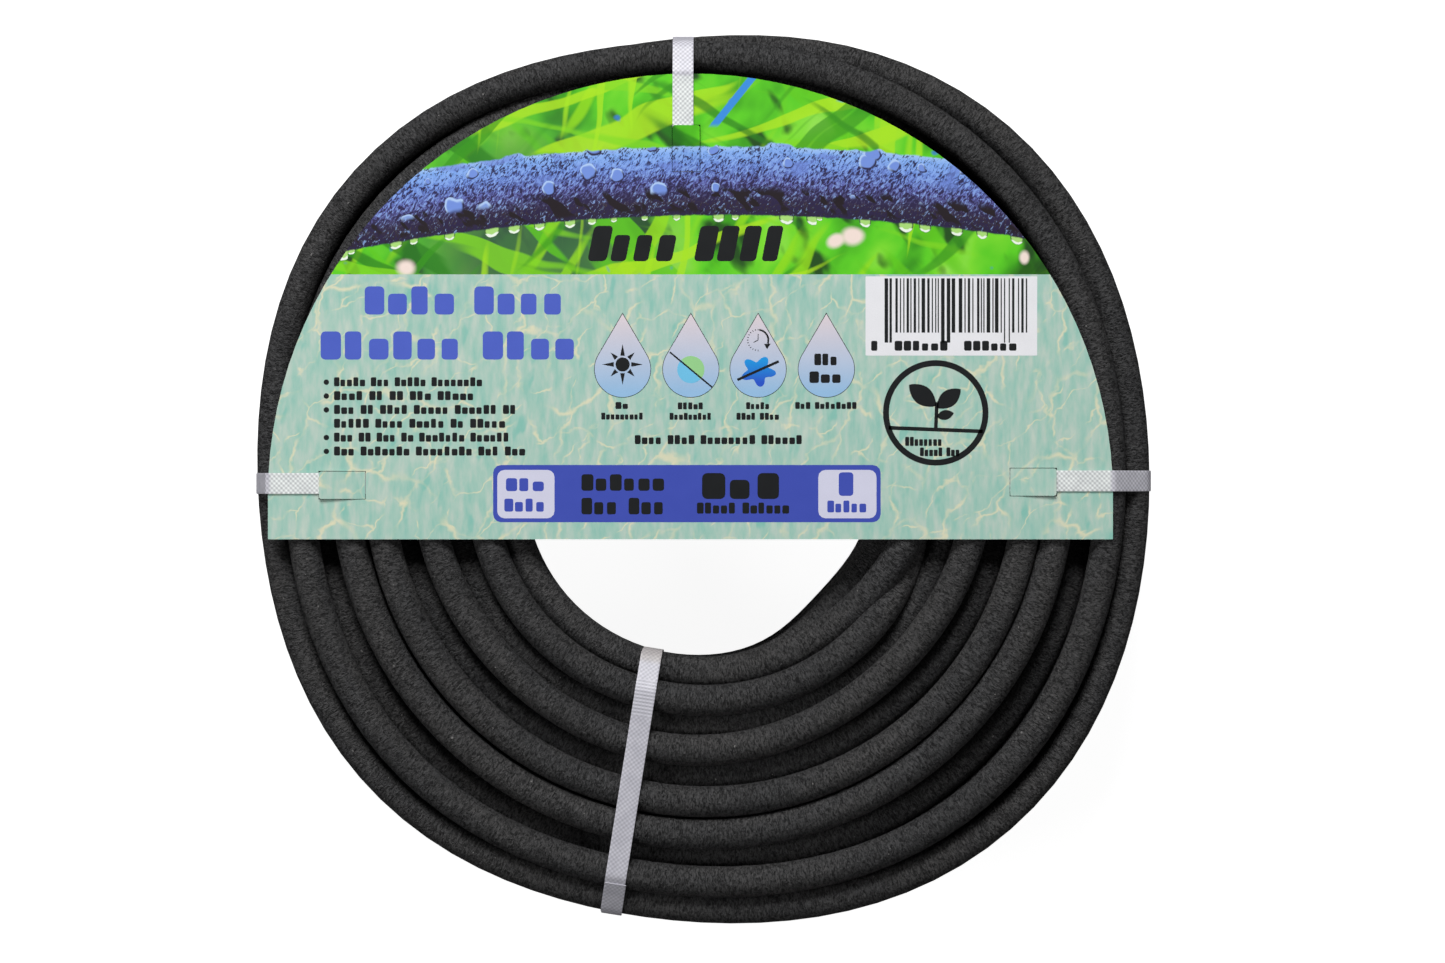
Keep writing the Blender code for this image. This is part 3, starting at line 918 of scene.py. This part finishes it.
class Print:
    """Flat shapes of ink on the card, in millimetres, each as thick as its layer and closed all round.

    A shape is in the usual ink unless another is given.
    """

    def __init__(self, ink):
        self.usual_ink = ink
        self.points = []
        self.faces = []
        self.inks = []
        self.materials = []

    def shape(self, outline, layer=0, ink=None):
        """One closed shape, given anticlockwise."""
        ink = ink or self.usual_ink
        start, count = len(self.points), len(outline)
        top = CARD_TOP + INK * (layer + 1)
        self.points += [(x * MM, y * MM, CARD_TOP) for x, y in outline]
        self.points += [(x * MM, y * MM, top) for x, y in outline]
        self.faces.append(tuple(range(start, start + count))[::-1])
        self.faces.append(tuple(range(start + count, start + 2 * count)))
        for corner in range(count):
            after = (corner + 1) % count
            low, high = start + corner, start + after
            self.faces.append((low, high, high + count, low + count))
        if ink not in self.materials:
            self.materials.append(ink)
        self.inks += [self.materials.index(ink)] * (count + 2)

    def block(self, left, foot, width, height, layer=0, ink=None, corner=1.0, slant=0.0):
        """A rectangle with round corners, leaning by slant."""
        outline = []
        corner = min(corner, width / 2, height / 2)
        right, top = width - corner, height - corner
        for quarter, (x, y) in enumerate(((right, corner), (right, top), (corner, top), (corner, corner))):
            for part in range(4):
                angle = pi / 2 * (quarter - 1 + part / 3)
                up = y + corner * sin(angle)
                outline.append((left + x + corner * cos(angle) + slant * up, foot + up))
        self.shape(outline, layer, ink)

    def disc(self, x, y, radius, layer=0, ink=None, first=0.0, last=2 * pi, parts=40):
        """A disc, or the piece of one from angle first to angle last."""
        whole = last - first >= 2 * pi
        steps = [first + (last - first) * part / parts for part in range(parts if whole else parts + 1)]
        self.shape([polar(x, y, radius, step) for step in steps], layer, ink)

    def ring(self, x, y, radius, width, layer=0, first=0.0, last=2 * pi, parts=48):
        """A ring or a piece of one, as a row of short flat blocks."""
        for part in range(parts):
            angles = [first + (last - first) * (part + more) / parts for more in (0, 1)]
            inner, outer = radius - width / 2, radius + width / 2
            corners = ((inner, angles[0]), (outer, angles[0]), (outer, angles[1]), (inner, angles[1]))
            outline = [polar(x, y, reach, angle) for reach, angle in corners]
            self.shape(outline, layer)

    def bar(self, start, end, width, layer=0):
        (ax, ay), (bx, by) = start, end
        length = hypot(bx - ax, by - ay)
        x, y = (by - ay) / length * width / 2, (ax - bx) / length * width / 2
        self.shape([(ax + x, ay + y), (bx + x, by + y), (bx - x, by - y), (ax - x, ay - y)], layer)

    def greek(self, left, right, foot, height, words, layer=0, ink=None, slant=0.0):
        """Stands for a line of lettering: a block for each letter, of no letter's shape."""
        letter = (right - left) / (sum(words) + WORD_GAP * (len(words) - 1))
        at = left
        for word in words:
            for number in range(word):
                tall = height if number == 0 or chance.random() < TALL_SHARE else LOW_LETTER * height
                wide = letter * (WIDE_LETTER if number == 0 else chance.uniform(NARROW_LETTER, WIDE_LETTER))
                self.block(at, foot, wide, tall, layer, ink, 0.22 * wide, slant)
                at += letter
            at += WORD_GAP * letter

    def piece(self, name):
        obj = mesh_object(name, self.points, self.faces, False)
        for ink in self.materials:
            obj.data.materials.append(ink)
        obj.data.polygons.foreach_set("material_index", self.inks)
        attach(obj, "coil")


# Four icons in frames shaped like drops, each pointed this high over the middle of its round part.
DROP_RADIUS = 14.5
DROP_HEIGHT = 28.8
DROP_MIDDLE = 55.6
DROP_PLACES = (-40.1, -5.4, 28.8, 63.5)
DROP_RIM = 0.3


def drop_outline(x, y, radius, height, parts=36):
    """A round drop with a straight-sided point."""
    touch = pi / 2 - np.arccos(radius / height)
    turn = np.linspace(-pi - touch, touch, parts)
    return [polar(x, y, radius, angle) for angle in turn] + [(x, y + height)]


def leaf_outline(x, y, length, width, turn, parts=14):
    """A pointed leaf growing from (x, y) along turn."""
    outline = []
    for side, steps in ((-1, range(parts)), (1, range(parts, 0, -1))):
        for step in steps:
            along = length * step / parts
            aside = side * width / 2 * sin(pi * step / parts) ** 0.8
            right = along * cos(turn) - aside * sin(turn)
            up = along * sin(turn) + aside * cos(turn)
            outline.append((x + right, y + up))
    return outline


def print_sun(sheet, x, y):
    sheet.disc(x, y, 3.6, 2)
    for ray in range(8):
        angle = pi / 4 * ray
        reach = 10.4 if ray % 2 == 0 else 8.6
        foot = [polar(x, y, 4.6, angle + side) for side in (-0.26, 0.26)]
        sheet.shape([foot[0], polar(x, y, reach, angle), foot[1]], 2)


def print_struck_disc(sheet, x, y, green, sky):
    sheet.disc(x, y, 6.9, 2, green, -pi / 4, 3 * pi / 4, 24)
    sheet.disc(x, y, 6.9, 2, sky, 3 * pi / 4, 7 * pi / 4, 24)
    sheet.bar((x - 10.7, y + 8.9), (x + 11.0, y - 9.1), 0.8, 3)


def print_splash(sheet, x, y, deep):
    splash = []
    for step in range(60):
        angle = 2 * pi * step / 60
        reach = 6.3 + 1.7 * cos(5 * angle + 0.8)
        splash.append((x + reach * cos(angle) * 1.15, y + reach * sin(angle)))
    sheet.shape(splash, 2, deep)
    sheet.bar((x - 10.5, y - 4.4), (x + 10.5, y + 5.0), 1.3, 3)


def print_clock(sheet, x, y):
    """Dots round its left half, an arrow round its right, and two hands."""
    for dot in range(13):
        angle = pi / 2 + pi * dot / 12
        inner, outer = [polar(x, y, reach, angle) for reach in (4.9, 5.7)]
        sheet.bar(inner, outer, 0.35, 2)
    sheet.ring(x, y, 5.2, 0.9, 2, -0.35, pi / 2 - 0.1, 14)
    sheet.shape([(x + 3.0, y - 2.0), (x + 4.6, y - 4.6), (x + 6.4, y - 1.8)], 2)
    sheet.bar((x, y), (x, y + 3.2), 0.4, 2)
    sheet.bar((x, y), (x - 2.3, y - 1.2), 0.4, 2)


def print_drops(sheet, fade, green, sky, deep):
    for x in DROP_PLACES:
        sheet.shape(drop_outline(x, DROP_MIDDLE, DROP_RADIUS, DROP_HEIGHT))
        inside = drop_outline(x, DROP_MIDDLE, DROP_RADIUS - DROP_RIM, DROP_HEIGHT - 0.7)
        sheet.shape(inside, 1, fade)
    first, second, third, fourth = DROP_PLACES
    print_sun(sheet, first, 58.0)
    print_struck_disc(sheet, second, 55.4, green, sky)
    print_splash(sheet, third, 54.6, deep)
    print_clock(sheet, third, 70.4)
    sheet.greek(fourth - 6.1, fourth + 6.2, 57.6, 5.9, (3,), 2)
    sheet.greek(fourth - 8.6, fourth + 8.7, 48.6, 5.9, (3,), 2)
    # Each line of a caption: half its width, its foot, and the letters in each word.
    captions = (
        (first, ((3.6, 35.4, (2,)), (10.8, 30.0, (9,)))),
        (second, ((6.6, 35.2, (5,)), (10.8, 29.9, (9,)))),
        (third, ((6.1, 35.3, (5,)), (11.0, 29.9, (4, 4)))),
        (fourth, ((15.8, 35.4, (3, 8)),)),
    )
    for x, lines in captions:
        for half, foot, words in lines:
            sheet.greek(x - half, x + half, foot, 3.5, words, 1)


# The upright bars. Every so often two of them reach lower, and their widths and gaps are drawn by lot.
BARS_LEFT = 93.1
BARS_RIGHT = 165.6
BARS_TOP = 101.8
BARS_FOOT = 74.2
GUARD_FOOT = 69.1
GUARD_EVERY = 14
BAR_WIDTHS = (0.6, 0.6, 1.2, 1.8)
BAR_GAPS = (0.7, 1.1, 1.1, 1.8)


def print_bars(sheet, white):
    """A white box with upright bars, of no code."""
    sheet.block(83.4, 62.5, 87.3, 40.3, 0, white, 0.4)
    at = BARS_LEFT
    number = 0
    while at < BARS_RIGHT - 0.4:
        wide = chance.choice(BAR_WIDTHS)
        foot = GUARD_FOOT if number % GUARD_EVERY < 2 else BARS_FOOT
        sheet.block(at, foot, min(wide, BARS_RIGHT - at), BARS_TOP - foot, 1, corner=0.05)
        at += wide + chance.choice(BAR_GAPS)
        number += 1
    for left, right, letters in ((86.3, 90.0, 1), (98.2, 126.0, 6), (133.5, 161.0, 6)):
        sheet.greek(left, right, 65.0, 5.0, (letters,), 1)


def print_emblem(sheet):
    """A plain ring round a seedling on a line of ground."""
    x, y = 119.1, 33.4
    sheet.ring(x, y, 25.3, 3.0, 1, parts=72)
    sheet.bar((x - 23.9, y - 7.6), (x + 23.9, y - 9.4), 1.9, 1)
    sheet.bar((x, y - 8.5), (x + 0.6, y + 5.5), 1.8, 2)
    sheet.shape(leaf_outline(x + 0.2, y + 3.5, 17.5, 9.5, radians(142)), 2)
    sheet.shape(leaf_outline(x + 0.5, y + 2.5, 15.5, 8.5, radians(38)), 2)
    sheet.shape(leaf_outline(x + 0.4, y - 2.0, 9.0, 5.0, radians(12)), 2)
    sheet.greek(x - 15.5, x + 3.5, y - 16.8, 4.6, (8,), 1)
    sheet.greek(x - 8.0, x + 12.5, y - 22.0, 4.4, (5, 3), 1)


def print_banner(sheet, blue, pale):
    """A blue band with a pale box at each end, and greeked words on all three."""
    sheet.block(-105.9, -22.2, 197.0, 29.1, 0, blue, 4.0)
    sheet.block(-103.8, -20.2, 29.1, 24.6, 1, pale, 3.6)
    sheet.block(59.4, -20.2, 29.6, 24.6, 1, pale, 3.6)
    sheet.greek(-99.4, -79.0, -6.4, 6.6, (3,), 2, blue)
    sheet.greek(-100.2, -78.6, -16.8, 6.6, (4,), 2, blue)
    sheet.greek(-61.0, -17.6, -6.2, 8.4, (6,), 1)
    sheet.greek(-61.0, -17.6, -18.2, 8.4, (3, 3), 1)
    sheet.greek(0.3, 42.6, -10.4, 13.2, (3,), 1)
    sheet.greek(-2.3, 45.2, -17.8, 5.6, (5, 6), 1)
    sheet.greek(69.8, 78.6, -8.8, 12.0, (1,), 2, blue)
    sheet.greek(64.0, 84.4, -17.2, 6.0, (5,), 2, blue)


# Right-hand end and letters in each word of the greeked lines at the left.
NOTE_LINES = (
    (-111.0, (5, 3, 5, 8)),
    (-115.1, (4, 2, 2, 3, 5)),
    (-93.6, (3, 2, 4, 5, 6, 2)),
    (-99.2, (5, 4, 5, 2, 5)),
    (-97.2, (3, 2, 3, 2, 7, 6)),
    (-89.0, (3, 7, 8, 3, 3)),
)
# The line that runs on from the one above has no bullet.
RUN_ON_LINE = 3
NOTE_LEFT = -186.8
NOTE_TOP = 46.9
NOTE_PITCH = 7.04


def build_print():
    blue = ink_material("blue", 64, 80, 178)
    title = ink_material("title", 78, 98, 196)
    white = ink_material("white", 234, 234, 238)
    pale = ink_material("pale", 212, 212, 232)
    fade = ink_material("drop", 222, 210, 216, 150, 190, 226, foot=0.044, head=0.082)
    green = ink_material("green", 152, 210, 142)
    sky = ink_material("sky", 112, 194, 232)
    deep = ink_material("deep", 30, 150, 226, 40, 84, 200, foot=0.049, head=0.060)
    sheet = Print(ink_material("dark", 24, 26, 28))
    sheet.greek(-58.0, 42.0, 110.5, 18.0, (4, 4), slant=0.2)
    sheet.greek(-171.2, -68.1, 83.4, 14.3, (4, 4), 0, title)
    sheet.greek(-193.6, -62.0, 60.5, 14.3, (6, 4), 0, title)
    for number, (right, words) in enumerate(NOTE_LINES):
        foot = NOTE_TOP - NOTE_PITCH * number
        sheet.greek(NOTE_LEFT, right, foot, 4.6, words)
        if number != RUN_ON_LINE:
            sheet.disc(NOTE_LEFT - 3.9, foot + 2.1, 1.4, parts=16)
    sheet.greek(-33.9, 51.8, 17.5, 4.6, (4, 4, 8, 6))
    print_drops(sheet, fade, green, sky, deep)
    print_bars(sheet, white)
    print_emblem(sheet)
    print_banner(sheet, blue, pale)
    sheet.piece("label_print")


# ---- stage


# Soft square lights: name, azimuth and elevation in degrees, distance, size, and how brightly each lights
# the floor.
LIGHTS = (
    ("key", 99, 40, 2.6, 1.1, 0.67),
    ("left", 195, 38, 2.4, 0.9, 0.17),
    ("right", -15, 38, 2.4, 0.9, 0.10),
)
LIGHTS_AIM = Vector((0, 0, 0.05))
WORLD_LIGHT = 0.035
FLOOR_HALF = 4
WHITE = (1, 1, 1, 1)


def add_stage():
    corners = [(x * FLOOR_HALF, y * FLOOR_HALF, 0) for x, y in ((-1, -1), (1, -1), (1, 1), (-1, 1))]
    floor = mesh_object("floor", corners, [(0, 1, 2, 3)], False)
    material = NodeTree("floor_white").surface(
        Base_Color=(0.35, 0.35, 0.35, 1), Roughness=0.9, Specular_IOR_Level=0.1,
        Emission_Color=WHITE, Emission_Strength=0.93,
    )
    floor.data.materials.append(material)
    # The backdrop is bright, but throws no light up into the coil.
    floor.visible_diffuse = False
    floor.visible_glossy = False
    for name, azimuth, elevation, distance, size, level in LIGHTS:
        angle, rise = radians(azimuth), radians(elevation)
        place = distance * Vector((cos(angle) * cos(rise), sin(angle) * cos(rise), sin(rise)))
        data = bpy.data.lights.new(name, "AREA")
        data.shape = "RECTANGLE"
        data.size = data.size_y = size
        data.energy = level * pi**2 * distance**2 / sin(rise)
        light = bpy.data.objects.new(name, data)
        light.location = place
        light.rotation_euler = (LIGHTS_AIM - place).to_track_quat("-Z", "Y").to_euler()
        bpy.context.scene.collection.objects.link(light)
    world = bpy.data.worlds.new("studio")
    world.use_nodes = True
    background = world.node_tree.nodes["Background"]
    background.inputs["Color"].default_value = WHITE
    background.inputs["Strength"].default_value = WORLD_LIGHT
    bpy.context.scene.world = world
    bpy.context.scene.view_settings.view_transform = "Standard"


# ---- all of it

add_camera()
hose_centres = build_hose()
band_material = strap_material()
for strap in STRAPS:
    build_strap(hose_centres, *strap, band_material)
dress_card()
build_print()
add_stage()
